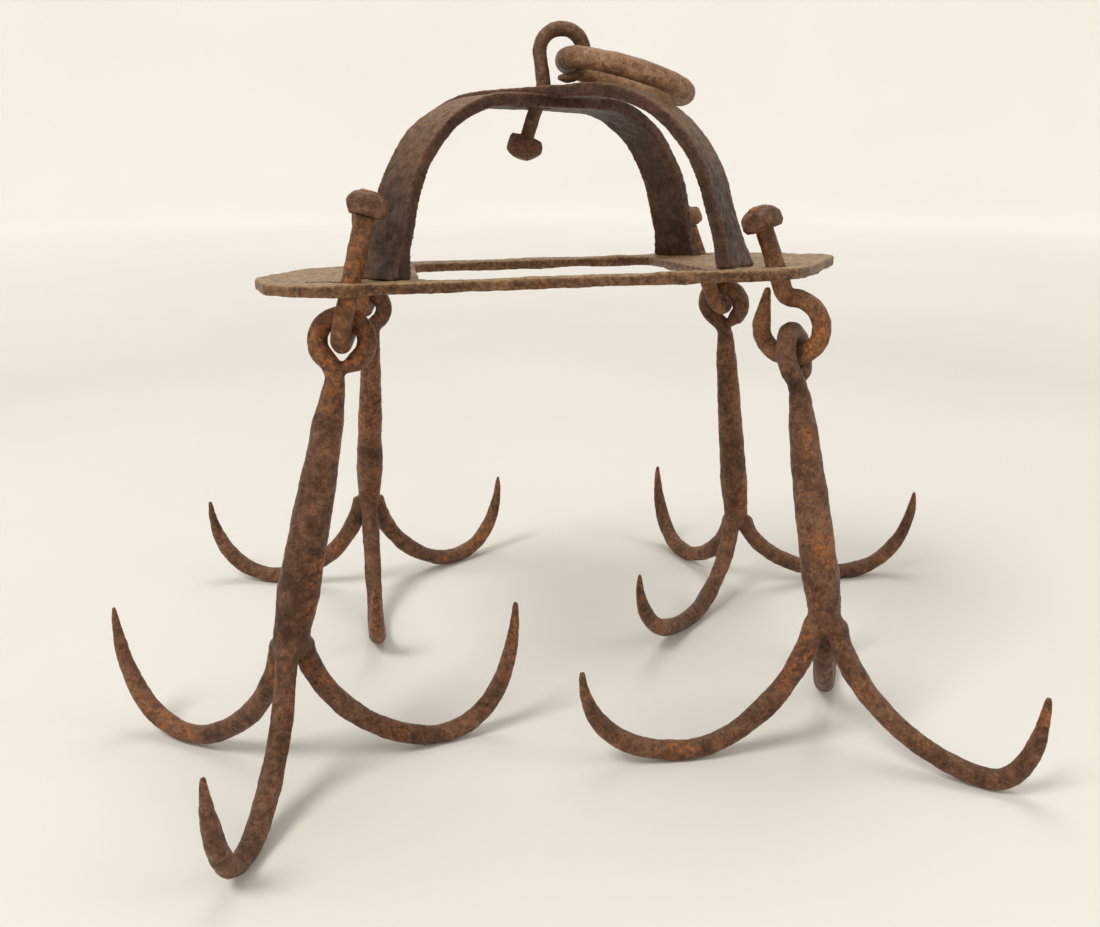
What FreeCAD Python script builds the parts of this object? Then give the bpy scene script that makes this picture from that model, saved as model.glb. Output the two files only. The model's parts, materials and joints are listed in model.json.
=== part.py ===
"""Hand-forged hanging grapnel: a flat iron frame under two crossed straps, with a swivelling
lifting ring on top and four swivelling treble hooks below, standing on its hooks.

Millimetres. The frame's length runs along X, its depth along Y, and Z is up. Everything is
laid out about the middle of the frame and moved at the end, so that the origin is the middle
of the whole footprint, on the floor.
"""
import FreeCAD, Part
import math
import os

V = FreeCAD.Vector
X_AXIS, Y_AXIS, Z_AXIS = V(1, 0, 0), V(0, 1, 0), V(0, 0, 1)

# ---- crown: flat frame and the two crossed straps --------------------------------------
FRAME_THICK = 4.5            # flat iron
FRAME_TOP_Z = 196.3          # top face of the frame at its middle, above the floor
CROWN_PITCH = 4.4            # degrees, the back edge lower than the front
CROWN_ROLL = 0.9             # degrees, the right end higher than the left
RIM = [                      # corners of the frame's outline and their radii, from the left end
    (-119, -52, 14), (-103, -74, 18), (88, -71, 16), (101, -54, 12), (136, 11, 24),
    (126, 46, 24), (94, 75, 30), (-84, 75, 40), (-112, 40, 40), (-127, -8, 40)]
OPENING_X = (-59, 57)        # the frame's middle is open
OPENING_Y = (-63, 62)
OPENING_CORNER = 12.0
HOLE_RADIUS = 6.2
SLOT_RUN = V(-12, 14, 0)     # the front left hole is worn into a slot, back and outwards

STRAP_WIDTH, STRAP_THICK = 21.5, 5.2
FOOT_WIDTH, FOOT_THICK, FOOT_HEIGHT = 25.5, 7.6, 11.0
ARCH_CENTRE = V(-0.5, 1.5, 0)
LOWER_REACH, UPPER_REACH = 90.0, 87.0  # middle of the crossing to the middle of a foot
ARCH_RISE = 71.6             # frame to the top of the lower strap
ARCH_SHOULDER = 56.0         # bend radius of a strap's middle line
ARCH_ANGLE = 36.5            # each strap's direction from the frame's length
LEG_LEAN = 16.4              # degrees that each leg leans inwards
LAP = 1.6                    # depth of the notch in the upper strap, over the lower one
CROSSING_HOLE, CROSSING_AT = 5.4, V(-2.5, 0, 0)

# ---- lifting eye and ring --------------------------------------------------------------
EYE_ROD, EYE_LOW_ROD = 3.1, 2.2        # radii of the rod, and of its thinner end
EYE_TOP_BEND, EYE_LOW_BEND = 9.5, 7.6  # radii of its bends' middle lines
EYE_NECK = 1.5               # from the straps to where the eye is bent back
EYE_TOP_Z, EYE_LOW_Z = 12.2, 9.0       # bend centres above that
EYE_LOW_SWEEP = 100.0        # the end curls back under, towards the shank
EYE_AT = V(-0.6, 0, 0)
EYE_LEAN = 20.0              # degrees from upright, the shank below the straps
EYE_BACK = 26.0              # degrees that the eye is bent back from its shank
EYE_TRAVEL = 12.6            # gap between the straps and the dropped eye's head
RING_ROD, RING_RADIUS = 4.6, 26.5
RING_DROOP = 17.0            # degrees below level, where the ring rests on the upper strap

# ---- heads riveted on the shanks, and the hooks below ----------------------------------
HEAD_RADIUS, HEAD_RIM, HEAD_HEIGHT = 8.3, 4.3, 9.0
TENON, RUNNING_GAP = 2.6, 0.06
PEEN_RADIUS, PEEN_DEPTH, PEEN_DOME = 4.2, 2.2, 0.8
SHANK_ROD = 3.8
HOOK_BEND = 9.5              # bend radius of a plain hook's middle line
WIDE_BEND, NECK_BEND = 12.3, 4.2       # of the wide hook, and where it leaves its shank
WIDE_ASIDE = 1.5             # the wide hook's bend centre from its shank's axis
WIDE_CURL = 28.0             # degrees that its end curls inwards past upright
HOOK_TIP, HOOK_TAPER = 1.3, 13.0       # radius and length of its pointed end

# ---- grapnels --------------------------------------------------------------------------
EYE_BAR, EYE_BEND = 4.0, 9.5           # the grapnel's own eye
EYE_NECK_BEND, EYE_END = 11.0, 228.0   # the eye is closed by its tapered end
EYE_TAPER, EYE_POINT = 5.5, 2.3        # length of that, and radius at the end
TINE_ROOT, TINE_BELLY, TINE_TIP = 4.7, 4.2, 0.8
TINE_STOUTNESS = 3.5         # how late a tine tapers to its point
TINE_STEPS = 7
TINE_SET_OUT = 5.0           # a tine's root from the middle of the shank
INNER_SQUARENESS, OUTER_FULLNESS = 1.2, 0.8    # 1 and 1 are quarters of an ellipse

# hole: in the frame. lean: the swivel axis's top from its foot, degrees along X and Y.
# head: its height above the frame. drop: frame to the hook's bend centre. turn: the hook's
# direction. eye_at: the grapnel eye's middle, out from the swivel axis and up from the hook's
# bend centre. eye: direction of the grapnel eye's axis.
# curl: side on which the eye's bar leaves. set_over: the bar from the eye's middle there.
# crotch: where the tines part. shank: its widest radius. tines: direction, reach to the low
# point, reach to the tip, height of the tip.
GRAPNELS = {
    "front_left": dict(
        hole=(-85, -64), lean=(14.5, 8), head=25.5, drop=14.4, turn=82,
        eye_at=(HOOK_BEND, -8.3), eye=82, curl=1, set_over=0, crotch=(-115.5, -81, 61), shank=8.4,
        tines={"left": (145, 60, 97, 56), "right": (18, 62, 98, 59),
               "front": (-105.5, 57, 85, 53)}),
    "back_left": dict(
        hole=(-82.5, 60), lean=(7, -9), head=19.0, drop=15.5, turn=76,
        eye_at=(HOOK_BEND, -8.3), eye=76, curl=-1, set_over=3, crotch=(-86.6, 108, 56), shank=6.9,
        tines={"left": (160, 59, 97, 46), "right": (37, 60, 97, 46),
               "front": (-88, 57, 96, 42)}),
    "front_right": dict(
        hole=(84, -57), lean=(-19, 8), head=15.5, drop=25.6, turn=-30,
        eye_at=(-3.6, -11.0), eye=-40, curl=-1, set_over=0, crotch=(103.4, -88, 60), shank=7.9,
        tines={"left": (-178.5, 55, 103, 44), "right": (-35, 69, 88, 45),
               "back": (65, 59, 90, 48)}),
    "back_right": dict(
        hole=(83.5, 60), lean=(-21, 2), head=15.0, drop=22.0, turn=52,
        eye_at=(HOOK_BEND, -8.3), eye=52, curl=1, set_over=0, crotch=(116.4, 80, 44), shank=7.2,
        tines={"back": (106, 55, 90, 48), "left": (-131, 49, 112, 49),
               "right": (7, 69, 112, 49)}),
}


# ---- small helpers ---------------------------------------------------------------------
def unit(v):
    return V(v).normalize()


def polar(degrees, radius=1.0):
    a = math.radians(degrees)
    return V(radius * math.cos(a), radius * math.sin(a), 0)


def bar(start, end, r1, r2=None):
    """A straight round bar, tapered if it has two radii."""
    span = end - start
    if r2 is None or abs(r1 - r2) < 1e-6:
        return Part.makeCylinder(r1, span.Length, start, span)
    return Part.makeCone(r1, r2, span.Length, start, span)


def bend(centre, normal, start, degrees, radius):
    """A round bar bent about an axis, from start: a piece of a torus."""
    if degrees < 0:
        normal, degrees = normal * -1, -degrees
    disc = Part.Face(Part.Wire(Part.makeCircle(radius, start, normal.cross(start - centre))))
    return disc.revolve(centre, normal, degrees)


def join(shapes):
    body = shapes[0].fuse(shapes[1:]) if len(shapes) > 1 else shapes[0]
    return body.removeSplitter()


def largest_solid(shape):
    return max(shape.Solids, key=lambda s: s.Volume)


def turned(profile):
    """A solid turned about Z from (radius, height) points."""
    points = [V(r, 0, z) for r, z in profile]
    face = Part.Face(Part.makePolygon(points + points[:1]))
    return face.revolve(V(0, 0, 0), Z_AXIS, 360)


def put(shape, placement):
    copy = shape.copy()
    copy.Placement = placement.multiply(copy.Placement)
    return copy


def frame_of(along, up, origin):
    """Placement with Z along up and X as near as possible to along."""
    up = unit(up)
    along = unit(along - up * along.dot(up))
    return FreeCAD.Placement(origin, FreeCAD.Rotation(along, up.cross(along), up, "ZXY"))


# ---- crown -----------------------------------------------------------------------------
CROWN = FreeCAD.Placement(
    V(0, 0, FRAME_TOP_Z),
    FreeCAD.Rotation(X_AXIS, -CROWN_PITCH).multiply(FreeCAD.Rotation(Y_AXIS, -CROWN_ROLL)))


def bolt_hole(name):
    """The hole for one swivel, square through the frame."""
    x, y = GRAPNELS[name]["hole"]
    low, deep = V(x, y, -2 * FRAME_THICK), 4 * FRAME_THICK
    if name != "front_left":
        return Part.makeCylinder(HOLE_RADIUS, deep, low)
    ends = [Part.makeCylinder(HOLE_RADIUS, deep, low + run) for run in (V(0, 0, 0), SLOT_RUN)]
    middle = Part.makeBox(SLOT_RUN.Length, 2 * HOLE_RADIUS, deep, V(0, -HOLE_RADIUS, 0))
    middle.rotate(V(0, 0, 0), Z_AXIS, math.degrees(math.atan2(SLOT_RUN.y, SLOT_RUN.x)))
    middle.translate(low)
    return join(ends + [middle])


def rounded(corners, z):
    """A flat closed outline with its corners rounded, from (x, y, radius) points."""
    points, radii = [V(x, y, z) for x, y, _ in corners], [r for _, _, r in corners]
    starts, ends, edges = [], [], []
    for i, (point, radius) in enumerate(zip(points, radii)):
        back, ahead = unit(points[i - 1] - point), unit(points[(i + 1) % len(points)] - point)
        half = back.getAngle(ahead) / 2
        cut = radius / math.tan(half)
        starts.append(point + back * cut)
        ends.append(point + ahead * cut)
        middle = point + unit(back + ahead) * (radius / math.sin(half) - radius)
        edges.append(Part.Arc(starts[-1], middle, ends[-1]).toShape())
    for i, end in enumerate(ends):
        edges.append(Part.makeLine(end, starts[(i + 1) % len(points)]))
    return Part.Wire(Part.__sortEdges__(edges))


def base_frame():
    """Flat ring, its top face on Z 0: narrow front and back bars and broad rounded ends."""
    (x0, x1), (y0, y1) = OPENING_X, OPENING_Y
    inside = [(x, y, OPENING_CORNER) for x, y in ((x0, y0), (x1, y0), (x1, y1), (x0, y1))]
    face = Part.Face([rounded(RIM, -FRAME_THICK), rounded(inside, -FRAME_THICK)])
    face.validate()
    plate = face.extrude(V(0, 0, FRAME_THICK))
    for name in GRAPNELS:
        plate = plate.cut(bolt_hole(name))
    return plate


def foot(reach, side):
    """Where the strap's end was spread as it was hammered onto the frame."""
    def section(z, width, thick):
        x = side * (reach - z * math.tan(math.radians(LEG_LEAN)))
        w, t = width / 2, thick / 2
        corners = [V(x - t, -w, z), V(x + t, -w, z), V(x + t, w, z), V(x - t, w, z)]
        return Part.makePolygon(corners + corners[:1])

    return Part.makeLoft([section(0, FOOT_WIDTH, FOOT_THICK),
                          section(FOOT_HEIGHT, STRAP_WIDTH, STRAP_THICK)], True)


def half_arch(rise, reach, side, out):
    """Edges of one side of a strap, offset outwards from its middle line, foot first."""
    lean, bend_radius = math.radians(LEG_LEAN), ARCH_SHOULDER + out
    mid_rise = rise - STRAP_THICK / 2
    leg = (mid_rise - ARCH_SHOULDER * (1 - math.sin(lean))) / math.cos(lean)
    centre = V(reach - leg * math.sin(lean) - ARCH_SHOULDER * math.cos(lean), 0,
               mid_rise - ARCH_SHOULDER)
    foot_x = reach + out / math.cos(lean)

    def on_bend(angle):
        return centre + V(bend_radius * math.cos(angle), 0, bend_radius * math.sin(angle))

    points = [V(foot_x, 0, 0), on_bend(lean), on_bend((lean + math.pi / 2) / 2),
              on_bend(math.pi / 2), V(0, 0, mid_rise + out)]
    foot_end, low, middle, top, crossing = [V(side * p.x, 0, p.z) for p in points]
    return [Part.LineSegment(foot_end, low), Part.Arc(low, middle, top),
            Part.LineSegment(top, crossing)], foot_end


def arch(rise, reach, degrees):
    """One strap: leaning legs, round shoulders and a flat top at the given height."""
    edges = []
    for side in (-1, 1):
        feet = []
        for out in (-STRAP_THICK / 2, STRAP_THICK / 2):
            line, foot_end = half_arch(rise, reach, side, out)
            edges += line
            feet.append(foot_end)
        edges.append(Part.LineSegment(*feet))
    face = Part.Face(Part.Wire(Part.__sortEdges__([e.toShape() for e in edges])))
    face.translate(V(0, -STRAP_WIDTH / 2, 0))
    strap = join([face.extrude(V(0, STRAP_WIDTH, 0)), foot(reach, -1), foot(reach, 1)])
    strap.rotate(V(0, 0, 0), Z_AXIS, degrees)
    strap = strap.cut(Part.makeCylinder(CROSSING_HOLE, rise, CROSSING_AT + V(0, 0, rise / 2)))
    strap.translate(ARCH_CENTRE)
    return strap


# ---- heads and shanks ------------------------------------------------------------------
def head():
    """A domed head, its bearing face on Z 0, bored for the tenon that is riveted over it."""
    bore, mouth = TENON + RUNNING_GAP, PEEN_RADIUS + 2 * RUNNING_GAP
    crown_angle = math.acos(mouth / HEAD_RADIUS)
    dome = [(HEAD_RADIUS * math.cos(crown_angle * i / 6),
             HEAD_RIM + (HEAD_HEIGHT - HEAD_RIM) * math.sin(crown_angle * i / 6)
             / math.sin(crown_angle)) for i in range(7)]
    return turned([(bore, 0), (0.86 * HEAD_RADIUS, 0), (HEAD_RADIUS, 0.45 * HEAD_RIM)]
                  + dome + [(bore, HEAD_HEIGHT - PEEN_DEPTH)])


def tenon():
    """The thin end of a shank, from its shoulder through the head to the rivet on top."""
    return turned([(0, -0.1), (TENON, -0.1), (TENON, HEAD_HEIGHT - PEEN_DEPTH),
                   (PEEN_RADIUS, HEAD_HEIGHT), (0.7 * PEEN_RADIUS, HEAD_HEIGHT + 0.75 * PEEN_DOME),
                   (0, HEAD_HEIGHT + PEEN_DOME)])


def plain_hook(length):
    """J shape: the bend's middle is beside the shank's axis, and level with Z 0."""
    r, centre = SHANK_ROD, V(HOOK_BEND, 0, 0)
    return [bar(V(0, 0, 0), V(0, 0, length), r),
            bend(centre, Y_AXIS, V(0, 0, 0), -180, r),
            Part.makeSphere(r, centre + V(HOOK_BEND, 0, 0))]


def wide_hook(length):
    """Question-mark shape: the bend's middle is near the axis, and the end tapers upwards."""
    r, b, n = SHANK_ROD, WIDE_BEND, NECK_BEND
    centre = V(-WIDE_ASIDE, 0, 0)
    a = math.acos((n + WIDE_ASIDE) / (b + n))
    neck = V(0, 0, (b + n) * math.sin(a))
    start = centre + V(math.cos(a), 0, math.sin(a)) * b
    curl = math.radians(WIDE_CURL)
    end = centre + V(-math.cos(curl), 0, math.sin(curl)) * b
    tip = end + V(math.sin(curl), 0, math.cos(curl)) * HOOK_TAPER
    return [bar(neck, V(0, 0, length), r),
            bend(neck + V(n, 0, 0), Y_AXIS, neck, -math.degrees(a), r),
            bend(centre, Y_AXIS, start, 180 + math.degrees(a) + WIDE_CURL, r),
            bar(end, tip, r, HOOK_TIP), Part.makeSphere(HOOK_TIP, tip)]


def swivel_axis(name):
    """Placement on one swivel's axis, where it crosses the frame's top face."""
    g = GRAPNELS[name]
    up = V(*(math.tan(math.radians(a)) for a in g["lean"]), 1)
    return frame_of(polar(g["turn"]), up, CROWN.multVec(V(*g["hole"], 0)))


def swivel_head(name):
    return put(head(), swivel_axis(name).multiply(
        FreeCAD.Placement(V(0, 0, GRAPNELS[name]["head"]), FreeCAD.Rotation())))


def swivel_hook(name):
    g = GRAPNELS[name]
    length = g["drop"] + g["head"]
    shape = wide_hook if name == "front_right" else plain_hook
    pin = tenon()
    pin.translate(V(0, 0, length))
    hook = join(shape(length - 0.1) + [pin])
    hook.translate(V(0, 0, -g["drop"]))
    return put(hook, swivel_axis(name))


# ---- lifting eye and ring --------------------------------------------------------------
def lifting_axis():
    """Placement on the lifting eye's turning axis, at the upper strap's top face."""
    straps_top = V(0, 0, ARCH_RISE + STRAP_THICK - LAP)
    return CROWN.multiply(FreeCAD.Placement(ARCH_CENTRE + EYE_AT + straps_top,
                                            FreeCAD.Rotation(Y_AXIS, EYE_LEAN)))


def lifting_eye_frame():
    """Placement of the eye itself, which is bent back from its shank's axis."""
    return lifting_axis().multiply(
        FreeCAD.Placement(V(0, 0, EYE_NECK), FreeCAD.Rotation(Y_AXIS, -EYE_BACK)))


def eye_bottom():
    """Head's bearing face below the straps' top face, with the eye dropped."""
    return 2 * STRAP_THICK - LAP + EYE_TRAVEL


def lifting_shank():
    """The shank through the straps, with the tenon for its head."""
    pin = tenon()
    pin.rotate(V(0, 0, 0), X_AXIS, 180)
    pin.translate(V(0, 0, -eye_bottom()))
    top = V(0, 0, EYE_NECK)
    return join([bar(V(0, 0, 0.1 - eye_bottom()), top, EYE_ROD), pin,
                 Part.makeSphere(EYE_ROD, top)])


def lifting_eye():
    """A shank bent over into a long eye, its tapered end curling back towards the shank."""
    r, b, c = EYE_ROD, EYE_TOP_BEND, EYE_LOW_BEND
    right, low = V(2 * b, 0, EYE_TOP_Z), V(2 * b - c, 0, EYE_LOW_Z)
    a = math.radians(EYE_LOW_SWEEP)
    end = low + V(c * math.cos(a), 0, -c * math.sin(a))
    tip = end + V(-math.sin(a), 0, -math.cos(a)) * 2.5
    eye = [bar(V(0, 0, 0), V(0, 0, EYE_TOP_Z), r),
           bend(V(b, 0, EYE_TOP_Z), Y_AXIS, V(0, 0, EYE_TOP_Z), 180, r),
           bar(right, V(2 * b, 0, EYE_LOW_Z), r, EYE_LOW_ROD),
           bend(low, Y_AXIS, V(2 * b, 0, EYE_LOW_Z), EYE_LOW_SWEEP, EYE_LOW_ROD),
           bar(end, tip, EYE_LOW_ROD, 1.4), Part.makeSphere(1.4, tip)]
    return join([put(join(eye), lifting_eye_frame()), put(lifting_shank(), lifting_axis())])


def lifting_head():
    cap = head()
    cap.rotate(V(0, 0, 0), X_AXIS, 180)
    cap.translate(V(0, 0, -eye_bottom()))
    return put(cap, lifting_axis())


def ring_pivot():
    """Placement at the ring's hinge: the middle of the eye's lower bend."""
    return lifting_eye_frame().multiply(FreeCAD.Placement(
        V(2 * EYE_TOP_BEND - EYE_LOW_BEND - 0.1, 0, EYE_LOW_Z + 0.3), FreeCAD.Rotation()))


def lifting_ring():
    droop = FreeCAD.Rotation(Y_AXIS, RING_DROOP - EYE_LEAN + EYE_BACK)
    ring = Part.makeTorus(RING_RADIUS, RING_ROD)
    ring.translate(V(RING_RADIUS, 0, 0))
    return put(ring, ring_pivot().multiply(FreeCAD.Placement(V(0, 0, 0), droop)))


# ---- grapnels --------------------------------------------------------------------------
def grapnel_axis(name):
    """Placement in the grapnel's eye: X is the eye's axis, Z runs up the shank."""
    g = GRAPNELS[name]
    swivel = swivel_axis(name)
    out, up = g["eye_at"]
    eye = swivel.multVec(V(out, 0, up - g["drop"]))
    return frame_of(polar(g["eye"]), eye - V(*g["crotch"]), eye)


def shank_length(name):
    return (grapnel_axis(name).Base - V(*GRAPNELS[name]["crotch"])).Length


def shank(name):
    """A bar that swells towards the crotch, its top bent sideways and round into an eye."""
    g = GRAPNELS[name]
    b, r, n, over = EYE_BEND, EYE_BAR, EYE_NECK_BEND, g["set_over"]
    a = math.acos((n + over) / (b + n))
    neck = V(0, over, -(b + n) * math.sin(a))
    start = V(0, b * math.cos(a), -b * math.sin(a))
    last = math.radians(EYE_END)
    end = V(0, math.cos(last), math.sin(last)) * b
    point = end + V(0, -math.sin(last), math.cos(last)) * EYE_TAPER
    wide, crotch = g["shank"], V(0, 0, -shank_length(name))
    swell = [(0, 1.08 * r), (0.14, 0.74 * wide), (0.45, 0.88 * wide), (0.8, wide),
             (1, 0.84 * wide)]
    stations = [(neck + (crotch - neck) * t, radius) for t, radius in swell]
    parts = [bend(V(0, 0, 0), X_AXIS, start, EYE_END + math.degrees(a), r),
             bar(end, point, r, EYE_POINT), Part.makeSphere(EYE_POINT, point),
             bend(neck + V(0, n, 0), X_AXIS, neck, -math.degrees(a), r),
             Part.makeSphere(swell[0][1], neck), Part.makeSphere(swell[-1][1], crotch)]
    for (p1, r1), (p2, r2) in zip(stations, stations[1:]):
        parts.append(bar(p1, p2, r1, r2))
    body = join(parts)
    if g["curl"] < 0:
        body = body.mirror(V(0, 0, 0), Y_AXIS)
    return put(body, grapnel_axis(name))


def tine_point(crotch, direction, reach, tip_reach, tip_height, t):
    """The tine's middle line: t 0 at the crotch, 1 at the low point, 2 at the tip."""
    a = math.radians(90 * (t if t <= 1 else t - 1))
    if t <= 1:
        start = 0 if t == 1 else math.cos(a) ** INNER_SQUARENESS
        out = reach - (reach - TINE_SET_OUT) * start
        up = crotch.z - (crotch.z - TINE_BELLY) * math.sin(a) ** INNER_SQUARENESS
    else:
        out = reach + (tip_reach - reach) * math.sin(a) ** OUTER_FULLNESS
        up = TINE_BELLY + (tip_height - TINE_BELLY) * (1 - math.cos(a))
    return V(crotch.x, crotch.y, 0) + polar(direction, out) + V(0, 0, up)


def tine_radius(t):
    if t <= 1:
        return TINE_ROOT + (TINE_BELLY - TINE_ROOT) * t
    return TINE_BELLY + (TINE_TIP - TINE_BELLY) * (t - 1) ** TINE_STOUTNESS


def tine(crotch, shape):
    """A tapering round tine that curves down, out and up to a point."""
    step, sideways = 0.01, polar(shape[0] + 90)
    rings = []
    for i in range(2 * TINE_STEPS + 1):
        t = i / TINE_STEPS
        before = tine_point(crotch, *shape, max(t - step, 0))
        after = tine_point(crotch, *shape, min(t + step, 2))
        circle = Part.Wire(Part.makeCircle(tine_radius(t)))
        rings.append(put(circle, frame_of(sideways, after - before,
                                          tine_point(crotch, *shape, t))))
    return Part.makeLoft(rings, True, False)


def tines(name):
    """The three tines, each cut to meet the shank and the tines before it."""
    g = GRAPNELS[name]
    made = {}
    for side, shape in g["tines"].items():
        solid = tine(V(*g["crotch"]), shape)
        for other in [shank(name)] + list(made.values()):
            solid = largest_solid(solid.cut(other))
        made[side] = solid
    return made


# ---- whole object ----------------------------------------------------------------------
def pieces():
    """Every piece by name, still laid out about the frame's middle."""
    lower_strap = arch(ARCH_RISE, LOWER_REACH, ARCH_ANGLE)
    upper_strap = arch(ARCH_RISE + STRAP_THICK - LAP, UPPER_REACH, -ARCH_ANGLE).cut(lower_strap)
    made = {
        "base_frame": put(base_frame(), CROWN),
        "lower_arch_strap": put(lower_strap, CROWN),
        "upper_arch_strap": put(upper_strap, CROWN),
        "lifting_eye": lifting_eye(),
        "lifting_eye_head": lifting_head(),
        "lifting_ring": lifting_ring(),
    }
    for name in GRAPNELS:
        made[name + "_swivel_head"] = swivel_head(name)
        made[name + "_swivel_hook"] = swivel_hook(name)
        made[name + "_shank"] = shank(name)
        for side, solid in tines(name).items():
            made[name + "_" + side + "_tine"] = solid
    return made


def home(made):
    """The move that puts the middle of the footprint at the origin."""
    box = Part.makeCompound(list(made.values())).optimalBoundingBox(True)
    return V(-box.Center.x, -box.Center.y, -box.ZMin)


def main():
    os.makedirs("parts", exist_ok=True)
    made = pieces()
    move = home(made)
    for name, shape in made.items():
        shape.translate(move)
        shape.exportStep("parts/" + name + ".step")
        print("%-32s %9.1f mm3  valid %s  solids %d"
              % (name, shape.Volume, shape.isValid(), len(shape.Solids)))


if __name__ == "__main__":
    main()
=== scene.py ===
"""Looks of the hanging grapnel: hand-forged, rusted iron on a pale studio floor."""
import json
import math
import random

import bmesh
import bpy
import numpy as np
from mathutils import Euler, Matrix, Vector, noise


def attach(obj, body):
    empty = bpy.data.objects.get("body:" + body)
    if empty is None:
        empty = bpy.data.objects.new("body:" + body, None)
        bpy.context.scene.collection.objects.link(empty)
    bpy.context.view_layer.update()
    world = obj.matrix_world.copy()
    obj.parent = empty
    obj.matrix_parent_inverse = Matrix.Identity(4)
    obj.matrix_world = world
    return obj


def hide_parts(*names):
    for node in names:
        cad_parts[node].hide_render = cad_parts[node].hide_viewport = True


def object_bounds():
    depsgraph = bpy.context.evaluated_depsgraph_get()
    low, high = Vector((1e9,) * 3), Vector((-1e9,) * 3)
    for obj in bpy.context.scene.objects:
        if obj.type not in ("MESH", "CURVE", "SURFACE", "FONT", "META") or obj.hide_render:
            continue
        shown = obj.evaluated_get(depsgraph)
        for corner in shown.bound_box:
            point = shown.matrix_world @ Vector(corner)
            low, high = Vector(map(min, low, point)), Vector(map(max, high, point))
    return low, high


MM = 0.001

# Mesh fineness and the depth of the hammer marks, in mm, and how rusty each kind of piece is.
# fine: voxel size. soft: rounds of smoothing at the edges. dish, cell: depth and width of the
# hammer marks. wave: slow unevenness. grit: small roughness. slack: drawn in, to keep clear of
# a neighbour. rust, dust: 0 to 1.
FINISHES = {
    "frame_iron": dict(fine=0.80, soft=2, dish=0.30, cell=11, wave=0.50, grit=0.12, slack=0.0,
                       rust=0.40, dust=1.0),
    "strap_iron": dict(fine=0.70, soft=2, dish=0.28, cell=12, wave=0.40, grit=0.10, slack=0.0,
                       rust=0.15, dust=0.70),
    "ring_iron": dict(fine=0.50, soft=1, dish=0.20, cell=8, wave=0.30, grit=0.08, slack=0.05,
                      rust=0.30, dust=0.35),
    "eye_iron": dict(fine=0.42, soft=1, dish=0.20, cell=6, wave=0.25, grit=0.07, slack=0.05,
                     rust=0.25, dust=0.25),
    "head_iron": dict(fine=0.40, soft=1, dish=0.25, cell=5, wave=0.20, grit=0.08, slack=0.12,
                      rust=0.25, dust=0.25),
    "hook_iron": dict(fine=0.42, soft=1, dish=0.22, cell=6, wave=0.25, grit=0.08, slack=0.05,
                      rust=0.55, dust=0.20),
    "grapnel_iron": dict(fine=0.55, soft=1, dish=0.30, cell=8, wave=0.50, grit=0.10, slack=0.0,
                         rust=0.38, dust=0.12),
}
ENDINGS = (("base_frame", "frame_iron"), ("_strap", "strap_iron"), ("_ring", "ring_iron"),
           ("_head", "head_iron"), ("_eye", "eye_iron"), ("_hook", "hook_iron"),
           ("_grapnel", "grapnel_iron"))
SAME_POINT = 1e-7     # m, points of a CAD mesh closer than this are one
SWELL = 0.25          # mm that pieces welded together are swollen by, so that they overlap

# A grapnel's weld: slice of the shank's end that it is centred on, and the distances, in mm,
# that are drawn smooth in full and then less and less; how hard, and how many times.
WELD_SLICE, WELD_CORE, WELD_FADE = 4.0, 8.0, 12.0
WELD_PULL, WELD_ROUNDS = 0.6, 40
# Hollow corners: how hard and how often they are filled, and the mm of move that counts as one.
FILLET_PULL, FILLET_ROUNDS, FILLET_FROM = 0.5, 30, 0.012

# Pairs that take off the voxels' steps and give back the bulk, and the pull that rounds edges.
EVEN_OUT, EVEN_OUT_ROUNDS, EDGE_PULL = (0.5, -0.53), 3, 0.5
SOFTEN_MARKS = (0.4, -0.42)

# Hammered flats on a rivet head: their number, the largest share of the half width that one
# takes off, how flat they are, and how far they face upwards on average and at random.
HEAD_FLATS, HEAD_FLAT_CUT, HEAD_FLATNESS = 11, 0.15, 0.85
HEAD_FLAT_UP, HEAD_FLAT_SPREAD = 0.35, 0.8

# Sizes, in mm, of the slow unevenness, the grit and the rust's patches, and the spread of
# a hammer mark as a share of its cell.
WAVE_SIZE, GRIT_SIZE, RUST_SIZE, MARK_SPREAD = 19, 2.6, 30, 0.75
SEED_STEP = Vector((17.3, 5.1, 9.7))  # moves the noise on from piece to piece

# Worn places, and hollows that get painted shade: rounds of smoothing that show them, and the mm
# that count in full.
WEAR_PULL, WEAR_ROUNDS = 0.7, 10
WORN_FULL, WORN_FROM, HOLLOW_SHADE_FULL = 0.34, 0.15, 0.22
DUST_FROM, DUST_FADE = 0.35, 0.55     # how far up a face points before dust lies on it
RUST_CONTRAST = 0.9

# Scales of the rust's noises, per metre of the object.
BROAD, MOTTLE, BLOOM, BLOTCH, RUB, SPECK, SETTLED = 42, 260, 420, 620, 520, 1700, 430
HIGHLIGHT = (1.0, 0.75, 0.55, 1)      # tint of the iron's reflections

# ---- studio ----------------------------------------------------------------------------
LAMPS = {                             # place in m, width in m, power in W
    "key": ((-1.2, -0.9, 2.0), 0.9, 32),
    "fill": ((1.7, -0.9, 1.3), 1.2, 8),
    "top": ((0.2, 0.9, 2.2), 1.3, 15),
}
LAMP_TARGET = (0, 0, 0.15)
WARM_WHITE = (1.0, 0.985, 0.965)
WORLD_STRENGTH = 0.47
CAMERA_AT = (-0.08720, -0.50672, 0.26365)
CAMERA_DOWN, CAMERA_RIGHT = 17.26, 8.0        # degrees
SENSOR, LENS = 36.0, 37.58                    # mm


# ---- forged meshes ---------------------------------------------------------------------
def slot_of(name):
    return next(slot for ending, slot in ENDINGS if name.endswith(ending))


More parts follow.
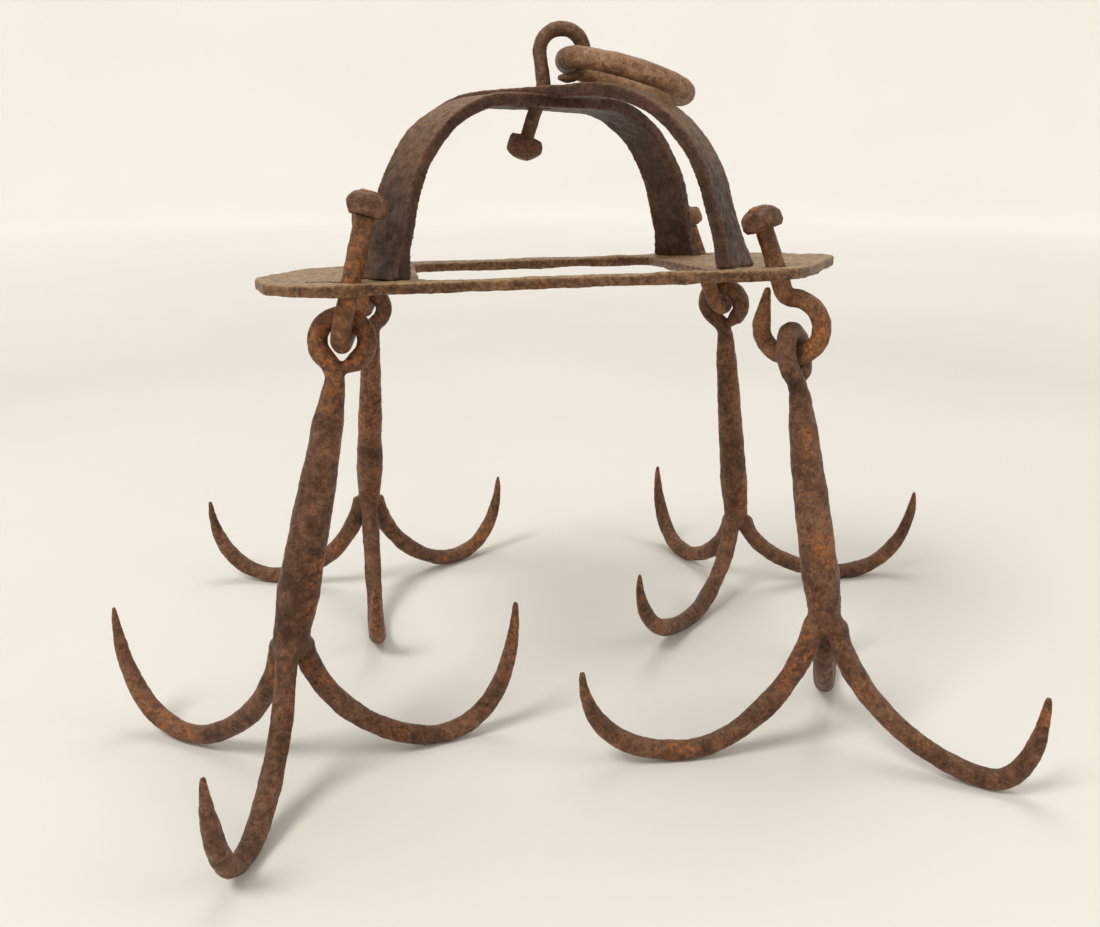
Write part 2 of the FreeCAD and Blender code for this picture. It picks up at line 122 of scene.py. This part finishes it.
def voxelled(sources, name, size):
    """An even mesh of quads over one closed CAD mesh, or over several that are welded."""
    bm = bmesh.new()
    for source in sources:
        bm.from_mesh(source.data)
    bmesh.ops.remove_doubles(bm, verts=bm.verts, dist=SAME_POINT)
    if len(sources) > 1:
        bm.normal_update()
        for v in bm.verts:
            v.co += v.normal * SWELL * MM
    mesh = bpy.data.meshes.new(name)
    bm.to_mesh(mesh)
    bm.free()
    piece = bpy.data.objects.new(name, mesh)
    bpy.context.scene.collection.objects.link(piece)
    remesh = piece.modifiers.new("even", "REMESH")
    remesh.mode, remesh.voxel_size = "VOXEL", size * MM
    graph = bpy.context.evaluated_depsgraph_get()
    even = bpy.data.meshes.new_from_object(piece.evaluated_get(graph))
    piece.modifiers.clear()
    piece.data = even
    even.name = name
    return piece


def relaxed(co, edges, weights):
    """Moves each point towards (or, for a negative weight, from) the middle of its neighbours."""
    a, b = edges[:, 0], edges[:, 1]
    count = np.bincount(edges.ravel(), minlength=len(co))[:, None]
    for w in weights:
        middle = np.stack([np.bincount(a, co[b, k], len(co)) + np.bincount(b, co[a, k], len(co))
                           for k in range(3)], 1) / count
        co = co + w * (middle - co)
    return co


def points_of(mesh):
    co = np.empty(len(mesh.vertices) * 3)
    mesh.vertices.foreach_get("co", co)
    return co.reshape(-1, 3)


def normals_of(mesh):
    n = np.empty(len(mesh.vertices) * 3)
    mesh.vertex_normals.foreach_get("vector", n)
    return n.reshape(-1, 3)


def put_points(mesh, co):
    mesh.vertices.foreach_set("co", co.ravel())
    mesh.update()


def blended(co, edges, name):
    """Draws the tines' roots and the shank's end into one smooth weld."""
    shank = points_of(frame["nodes"][name.replace("_grapnel", "_shank")].data)
    weld = shank[shank[:, 2] < shank[:, 2].min() + WELD_SLICE * MM].mean(0)
    away = np.linalg.norm(co - weld, axis=1) / MM
    near = np.clip(1 - (away - WELD_CORE) / WELD_FADE, 0, 1) * WELD_PULL
    return relaxed(co, edges, (near[:, None],) * WELD_ROUNDS)


def filleted(co, edges, mesh):
    """Fills the hollow corners where welded pieces meet, and leaves the rest alone."""
    for _ in range(FILLET_ROUNDS):
        move = relaxed(co, edges, (FILLET_PULL,)) - co
        outwards = (move * normals_of(mesh)).sum(1)
        co = co + move * (outwards > FILLET_FROM * MM)[:, None]
        put_points(mesh, co)
    return co


def flattened(co, seed):
    """A rivet head with hammered flats round it."""
    draw = random.Random(seed)
    middle = (co.min(0) + co.max(0)) / 2
    for _ in range(HEAD_FLATS):
        way = np.array([draw.gauss(0, 1), draw.gauss(0, 1),
                        draw.gauss(HEAD_FLAT_UP, HEAD_FLAT_SPREAD)])
        way /= np.linalg.norm(way)
        along = (co - middle) @ way
        limit = along.max() * (1 - HEAD_FLAT_CUT * draw.uniform(0.3, 1))
        co = co - np.maximum(along - limit, 0)[:, None] * HEAD_FLATNESS * way
    return co


def hammered(co, finish, seed):
    """How far in each point lies, in mm, from hammer marks, unevenness and grit; and rust."""
    shift = SEED_STEP * seed
    depth = np.empty(len(co))
    rust = np.empty(len(co))
    for i, p in enumerate(co / MM):
        v = Vector(p)
        slow = noise.noise(v / WAVE_SIZE + shift)
        near = noise.voronoi(v / finish["cell"] + shift)[0][0]
        dish = 0.5 - min(near / MARK_SPREAD, 1.0) ** 2
        fine = noise.fractal(v / GRIT_SIZE + shift, 0.7, 2.1, 3)
        depth[i] = (finish["wave"] * slow + finish["dish"] * dish
                    + finish["grit"] * max(-1.0, min(1.0, 1.8 * fine)))
        rust[i] = noise.fractal(v / RUST_SIZE - shift, 0.8, 2.2, 4)
    return depth + finish["slack"], rust


def put_values(mesh, name, values):
    mesh.attributes.new(name, "FLOAT", "POINT").data.foreach_set("value", values)


def forge(name, nodes, seed):
    """A hammered, softened copy of some CAD nodes, with where it is worn, where its hollows get
    painted shade, and where it is dusty.
    """
    finish = FINISHES[slot_of(name)]
    piece = voxelled([frame["nodes"][n] for n in nodes], "forged_" + name, finish["fine"])
    mesh = piece.data
    edges = np.empty(len(mesh.edges) * 2, np.int64)
    mesh.edges.foreach_get("vertices", edges)
    edges = edges.reshape(-1, 2)
    co = relaxed(points_of(mesh), edges,
                 EVEN_OUT * EVEN_OUT_ROUNDS + (EDGE_PULL,) * finish["soft"])
    put_points(mesh, co)
    if len(nodes) > 1:
        co = filleted(blended(co, edges, name), edges, mesh)
        co = co - normals_of(mesh) * SWELL * MM
    if name.endswith("_head"):
        co = flattened(co, seed)
    depth, rust = hammered(co, finish, seed)
    co = co - normals_of(mesh) * (depth * MM)[:, None]
    co = np.clip(relaxed(co, edges, SOFTEN_MARKS), *(np.array(c) for c in cad_box))
    put_points(mesh, co)
    mesh.polygons.foreach_set("use_smooth", np.ones(len(mesh.polygons), bool))
    normals = normals_of(mesh)
    proud = ((co - relaxed(co, edges, (WEAR_PULL,) * WEAR_ROUNDS)) * normals).sum(1) / MM
    put_values(mesh, "worn", np.clip(proud / WORN_FULL - WORN_FROM, 0, 1))
    # Painted shade: how deep a point lies in a hollow, which the material darkens.
    put_values(mesh, "hollow_shade", np.clip(-proud / HOLLOW_SHADE_FULL, 0, 1))
    put_values(mesh, "dust",
               np.clip((normals[:, 2] - DUST_FROM) / DUST_FADE, 0, 1) * finish["dust"])
    put_values(mesh, "rust",
               np.clip(0.5 + rust * RUST_CONTRAST + (finish["rust"] - 0.5), 0, 1))
    return piece


# ---- materials -------------------------------------------------------------------------
class Nodes:
    """Short calls for building one node tree."""

    def __init__(self, material):
        self.tree = material.node_tree
        self.tree.nodes.clear()

    def add(self, kind, links=(), **values):
        node = self.tree.nodes.new(kind)
        for key, value in values.items():
            setattr(node, key, value)
        for socket, source in dict(links).items():
            if isinstance(source, bpy.types.NodeSocket):
                self.tree.links.new(source, node.inputs[socket])
            else:
                node.inputs[socket].default_value = source
        return node

    def cloud(self, where, scale, detail=4.0, rough=0.6):
        return self.add("ShaderNodeTexNoise", {"Vector": where, "Scale": scale,
                                               "Detail": detail, "Roughness": rough}).outputs[0]

    def ramp(self, source, *stops):
        node = self.add("ShaderNodeValToRGB", {"Fac": source})
        elements = node.color_ramp.elements
        while len(elements) < len(stops):
            elements.new(1.0)
        for element, (at, colour) in zip(elements, stops):
            element.position = at
            element.color = (*colour, 1) if isinstance(colour, tuple) else (colour,) * 3 + (1,)
        return node.outputs[0]

    def sum(self, op, a, b):
        return self.add("ShaderNodeMath", {0: a, 1: b}, operation=op, use_clamp=True).outputs[0]

    def mix(self, factor, a, b, blend="MIX"):
        node = self.add("ShaderNodeMix", {0: factor, 6: a, 7: b}, data_type="RGBA",
                        blend_type=blend)
        return node.outputs[2]

    def value(self, name):
        return self.add("ShaderNodeAttribute", attribute_name=name).outputs["Fac"]


def srgb(r, g, b):
    """A colour given in screen values from 0 to 255."""
    return tuple((c / 255 / 12.92) if c <= 10 else ((c / 255 + 0.055) / 1.055) ** 2.4
                 for c in (r, g, b))


def colour(r, g, b):
    return (*srgb(r, g, b), 1)


def iron(slot, dark, middle, light, orange, dust):
    """Rusted iron: mottled brown, orange bloom, painted shade in the hollows, rubbed edges and
    dust on top.
    """
    material = bpy.data.materials.new(slot)
    material.use_nodes = True
    n = Nodes(material)
    at = n.add("ShaderNodeTexCoord").outputs["Object"]
    broad = n.cloud(at, BROAD)
    mottle = n.cloud(at, MOTTLE, 8.0, 0.72)
    base = n.ramp(n.add("ShaderNodeMix", {0: 0.45, 2: mottle, 3: broad},
                        data_type="FLOAT").outputs[0],
                  (0.40, srgb(*dark)), (0.50, srgb(*middle)), (0.60, srgb(*light)))
    bloom = n.sum("MULTIPLY", n.ramp(n.value("rust"), (0.45, 0.0), (0.85, 1.0)),
                  n.ramp(n.cloud(at, BLOOM, 6.0, 0.72), (0.46, 0.0), (0.60, 0.85)))
    shade = n.mix(bloom, base, colour(*orange))
    blotch = n.ramp(n.cloud(at, BLOTCH, 5.0, 0.7), (0.52, 0.0), (0.64, 0.7))
    shade = n.mix(blotch, shade, colour(*(0.72 * c for c in dark)))
    # Painted shade: the hollows are darkened towards half the dark tone.
    shade = n.mix(n.sum("MULTIPLY", n.value("hollow_shade"), 0.8), shade,
                  colour(*(0.5 * c for c in dark)))
    rub = n.sum("MULTIPLY", n.value("worn"), n.ramp(n.cloud(at, RUB, 5.0, 0.7),
                                                    (0.42, 0.05), (0.62, 0.75)))
    shade = n.mix(rub, shade, colour(*(min(1.22 * c, 235) for c in light)))
    speck = n.cloud(at, SPECK, 4.0, 0.8)
    settled = n.sum("MULTIPLY", n.value("dust"), n.ramp(n.cloud(at, SETTLED, 7.0, 0.78),
                                                        (0.40, 0.15), (0.58, 0.95)))
    shade = n.mix(settled, shade, colour(*dust))
    shade = n.mix(1.0, shade, n.ramp(speck, (0.34, 0.55), (0.50, 1.0), (0.68, 1.45)),
                  "MULTIPLY")
    rough = n.add("ShaderNodeMix", {0: rub, 2: n.ramp(mottle, (0.35, 0.62), (0.65, 0.36)),
                                    3: 0.30}, data_type="FLOAT").outputs[0]
    coarse = n.add("ShaderNodeBump", {"Strength": 0.9, "Distance": 0.0008,
                                      "Height": mottle}).outputs[0]
    fine = n.add("ShaderNodeBump", {"Strength": 0.8, "Distance": 0.00025, "Height": speck,
                                    "Normal": coarse}).outputs[0]
    shader = n.add("ShaderNodeBsdfPrincipled", {"Base Color": shade, "Roughness": rough,
                                                "Normal": fine, "Specular IOR Level": 0.4,
                                                "Specular Tint": HIGHLIGHT})
    n.add("ShaderNodeOutputMaterial", {"Surface": shader.outputs[0]})
    return material


def paper():
    """The pale floor and backdrop; the wall glows a little, as a lit studio wall does."""
    material = bpy.data.materials.new("backdrop")
    material.use_nodes = True
    n = Nodes(material)
    at = n.add("ShaderNodeTexCoord").outputs["Object"]
    tone = n.ramp(n.cloud(at, 2.2, 2.0, 0.5), (0.35, srgb(219, 215, 207)),
                  (0.65, srgb(223, 219, 211)))
    away = n.add("ShaderNodeVectorMath", {0: at}, operation="LENGTH").outputs["Value"]
    glow = n.ramp(n.add("ShaderNodeMapRange", {0: away, 1: 0.8, 2: 3.4}).outputs[0],
                  (0.0, 0.0), (0.62, 0.36), (1.0, 0.33))
    shader = n.add("ShaderNodeBsdfPrincipled", {"Base Color": tone, "Roughness": 0.9,
                                                "Specular IOR Level": 0.15,
                                                "Emission Color": (1, 0.96, 0.925, 1),
                                                "Emission Strength": glow})
    n.add("ShaderNodeOutputMaterial", {"Surface": shader.outputs[0]})
    return material


# ---- the object ------------------------------------------------------------------------
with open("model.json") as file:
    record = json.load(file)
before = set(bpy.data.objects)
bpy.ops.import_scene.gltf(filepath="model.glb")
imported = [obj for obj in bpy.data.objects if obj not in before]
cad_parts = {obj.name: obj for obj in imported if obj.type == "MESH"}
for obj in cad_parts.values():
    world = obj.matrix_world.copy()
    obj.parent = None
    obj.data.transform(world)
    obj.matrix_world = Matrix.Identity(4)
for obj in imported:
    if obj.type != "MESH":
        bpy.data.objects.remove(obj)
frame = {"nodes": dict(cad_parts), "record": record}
cad_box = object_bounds()

MATERIALS = {
    "frame_iron": iron("frame_iron", (46, 29, 20), (80, 54, 38), (118, 87, 60),
                       (144, 88, 46), (170, 142, 102)),
    "strap_iron": iron("strap_iron", (36, 21, 17), (60, 39, 31), (85, 58, 45),
                       (112, 68, 40), (146, 112, 76)),
    "ring_iron": iron("ring_iron", (80, 54, 40), (120, 87, 64), (154, 118, 87),
                      (158, 104, 60), (172, 142, 104)),
    "eye_iron": iron("eye_iron", (66, 44, 35), (98, 69, 52), (130, 97, 74),
                     (146, 98, 60), (160, 130, 96)),
    "head_iron": iron("head_iron", (60, 37, 28), (98, 66, 50), (134, 96, 73),
                      (150, 96, 56), (160, 128, 98)),
    "hook_iron": iron("hook_iron", (66, 40, 28), (108, 71, 47), (144, 101, 69),
                      (176, 108, 54), (166, 132, 94)),
    "grapnel_iron": iron("grapnel_iron", (54, 32, 24), (90, 59, 43), (122, 85, 62),
                         (160, 94, 44), (144, 112, 80)),
}

# The shank and tines of a grapnel are one weld, so they are one skin.
row = 0
for body, nodes in sorted(frame["record"]["behaviour"]["bodies"].items()):
    groups = {body: sorted(nodes)} if body.endswith("_grapnel") else {n: [n] for n in nodes}
    for name, members in sorted(groups.items()):
        row += 1
        piece = forge(name, members, row)
        piece.data.materials.clear()
        piece.data.materials.append(MATERIALS[slot_of(name)])
        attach(piece, body)
        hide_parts(*members)


# ---- floor, lights and camera ----------------------------------------------------------
def backdrop(flat=2.6, rise=1.1, wall=1.9, turns=96, steps=14):
    """A round floor that curves up into a wall, so that no horizon shows from any side."""
    profile = [(0.35, 0.0), (1.2, 0.0)]
    for i in range(steps + 1):
        a = math.pi / 2 * i / steps
        profile.append((flat + rise * math.sin(a), rise * (1 - math.cos(a))))
    profile.append((flat + rise, wall))
    bm = bmesh.new()
    centre = bm.verts.new((0, 0, 0))
    rings = [[bm.verts.new((r * math.cos(2 * math.pi * k / turns),
                            r * math.sin(2 * math.pi * k / turns), z)) for k in range(turns)]
             for r, z in profile]
    for k in range(turns):
        j = (k + 1) % turns
        bm.faces.new((centre, rings[0][k], rings[0][j]))
        for low, high in zip(rings, rings[1:]):
            bm.faces.new((low[k], high[k], high[j], low[j]))
    mesh = bpy.data.meshes.new("backdrop")
    bm.to_mesh(mesh)
    bm.free()
    mesh.polygons.foreach_set("use_smooth", np.ones(len(mesh.polygons), bool))
    mesh.materials.append(paper())
    sweep = bpy.data.objects.new("backdrop", mesh)
    bpy.context.scene.collection.objects.link(sweep)


def soft_light(name, at, size, power):
    lamp = bpy.data.lights.new(name, "AREA")
    lamp.shape, lamp.size, lamp.energy, lamp.color = "DISK", size, power, WARM_WHITE
    holder = bpy.data.objects.new(name, lamp)
    holder.location = at
    aim = Vector(LAMP_TARGET) - Vector(at)
    holder.rotation_euler = aim.to_track_quat("-Z", "Y").to_euler()
    bpy.context.scene.collection.objects.link(holder)


backdrop()
for lamp_name, (lamp_at, lamp_size, lamp_power) in LAMPS.items():
    soft_light(lamp_name, lamp_at, lamp_size, lamp_power)

world = bpy.data.worlds.new("studio")
world.use_nodes = True
sky = world.node_tree.nodes["Background"]
sky.inputs["Color"].default_value = (*WARM_WHITE, 1)
sky.inputs["Strength"].default_value = WORLD_STRENGTH
bpy.context.scene.world = world
bpy.context.scene.view_settings.view_transform = "Standard"

lens = bpy.data.cameras.new("camera")
lens.sensor_width, lens.lens = SENSOR, LENS
lens.clip_start, lens.clip_end = 0.01, 50
camera = bpy.data.objects.new("camera", lens)
camera.location = CAMERA_AT
camera.rotation_euler = Euler((math.radians(90 - CAMERA_DOWN), 0, math.radians(-CAMERA_RIGHT)),
                              "XYZ")
bpy.context.scene.collection.objects.link(camera)
bpy.context.scene.camera = camera
